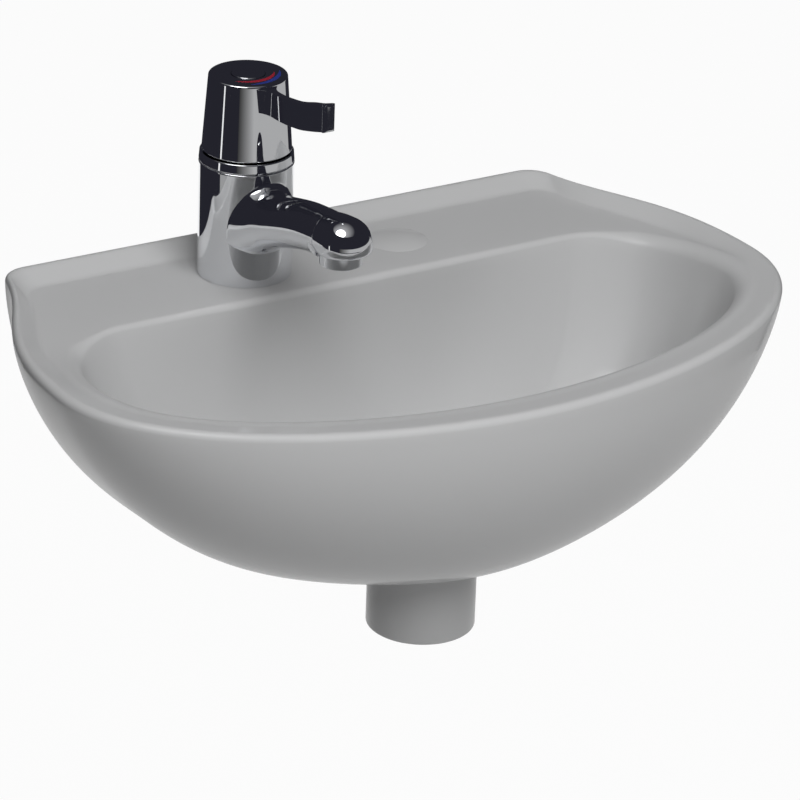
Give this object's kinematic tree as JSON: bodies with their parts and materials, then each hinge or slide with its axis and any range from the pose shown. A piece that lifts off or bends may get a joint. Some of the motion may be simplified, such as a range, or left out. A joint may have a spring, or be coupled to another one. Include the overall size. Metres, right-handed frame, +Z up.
{
  "type": "washbasin",
  "caption": "Small wall-hung washbasin with a D-shaped bowl and a single-lever mixer tap on the left of its deck.",
  "frame": {"origin": "on the wall face, midway between the two wall fixing holes", "axes": "X along the wall to the user's right, +Y into the wall, +Z up"},
  "size_m": [0.45, 0.3, 0.3105],
  "materials": {
    "ceramic": "gloss",
    "chrome": "polished",
    "brass": "machined",
    "steel": "satin",
    "rubber": "matte",
    "white_plastic": "matte",
    "red_plastic": "gloss",
    "blue_plastic": "gloss"
  },
  "bodies": {
    "basin": {"ceramic_basin": "ceramic", "tap_body": "chrome", "body_gasket": "rubber", "trim_ring": "chrome", "cartridge": "white_plastic", "cartridge_seals": "rubber", "cartridge_nut": "brass", "limit_stop": "white_plastic", "aerator_housing": "chrome", "aerator_insert": "white_plastic", "aerator_washer": "rubber", "fixing_stud": "brass", "clamp_seal": "rubber", "clamp_plate": "steel", "fixing_nut": "brass", "waste_body": "chrome", "waste_top_seal": "rubber", "waste_lower_seal": "rubber", "waste_ring_nut": "brass", "outlet_seal": "rubber"},
    "lever": {"handle": "chrome", "index_cap": "chrome", "hot_mark": "red_plastic", "cold_mark": "blue_plastic", "handle_screw": "steel", "spindle": "brass"}
  },
  "joints": [
    {"name": "lever_turn", "type": "hinge", "parent": "basin", "child": "lever", "pos_m": [-0.0475, -0.0485, 0.15], "axis": [0, 0, 1], "range_deg": [0, 100]}
  ]
}
